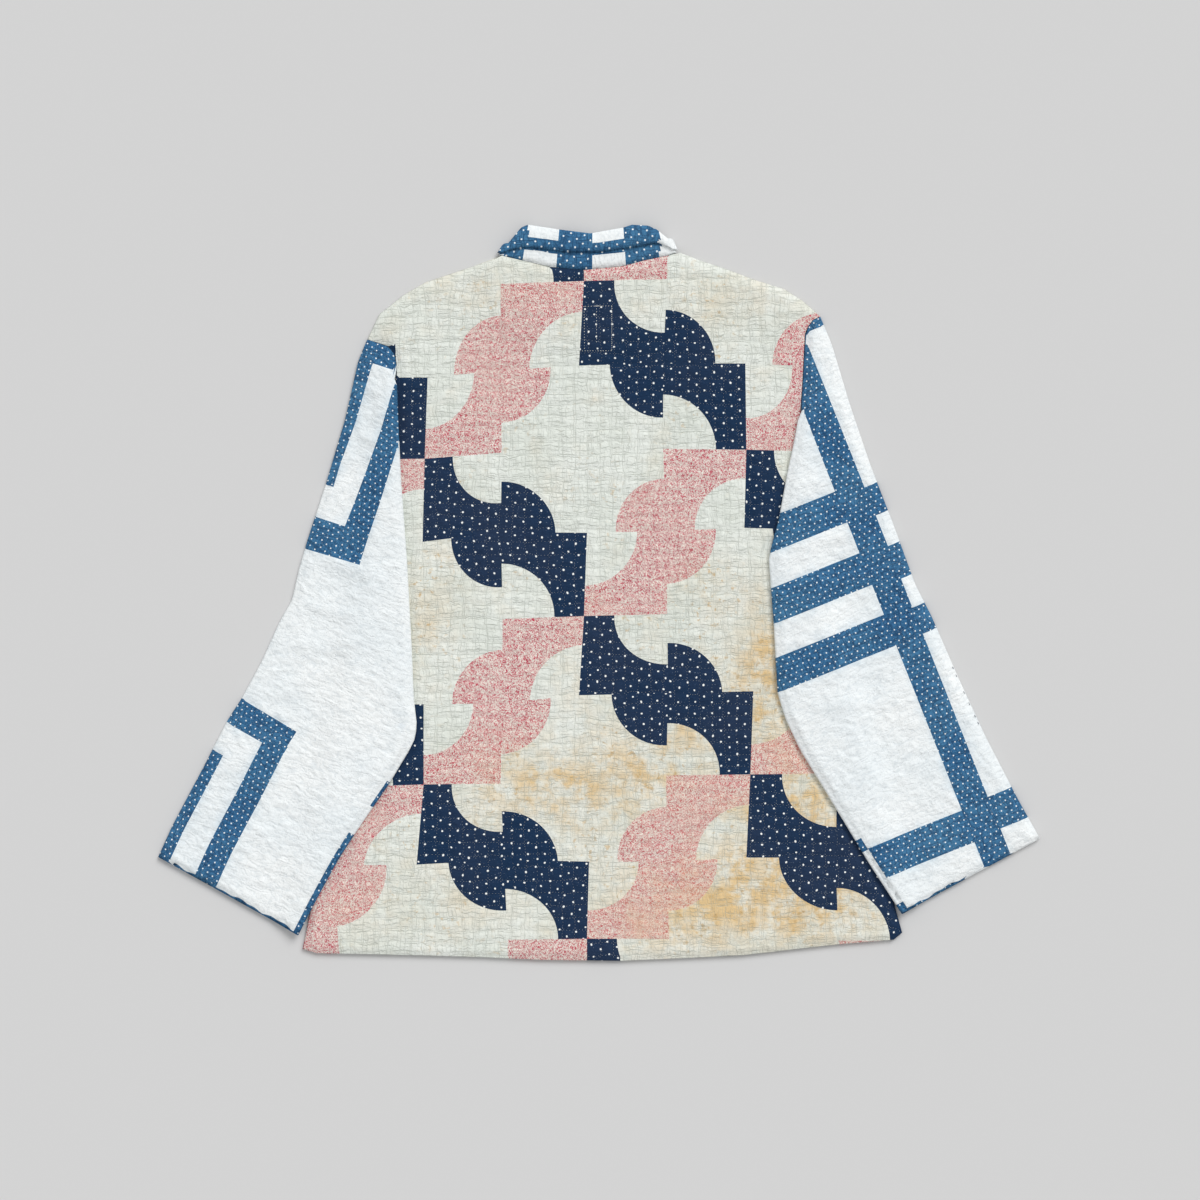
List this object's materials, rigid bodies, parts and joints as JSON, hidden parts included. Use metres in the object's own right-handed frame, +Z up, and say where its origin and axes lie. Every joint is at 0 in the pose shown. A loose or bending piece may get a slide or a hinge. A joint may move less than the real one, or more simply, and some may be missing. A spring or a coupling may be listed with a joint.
{
  "type": "patchwork quilt jacket",
  "caption": "Long-sleeved jacket cut from old patchwork quilts, laid flat with its back up, sleeves folded down beside the body and a turned-down collar at the neck.",
  "frame": {"origin": "middle of the jacket's outline, on the surface that it lies on", "axes": "+X to the wearer's right across the back, +Y from the hem to the collar, +Z up from the surface, out of the back"},
  "size_m": [0.916, 0.764, 0.0129],
  "materials": {
    "quilt_body": "matte",
    "quilt_sleeve": "matte",
    "quilt_collar": "matte"
  },
  "bodies": {
    "root": {"back": "quilt_body", "front_left": "quilt_body", "front_right": "quilt_body", "sleeve_left": "quilt_sleeve", "sleeve_right": "quilt_sleeve", "collar": "quilt_collar"}
  },
  "joints": []
}
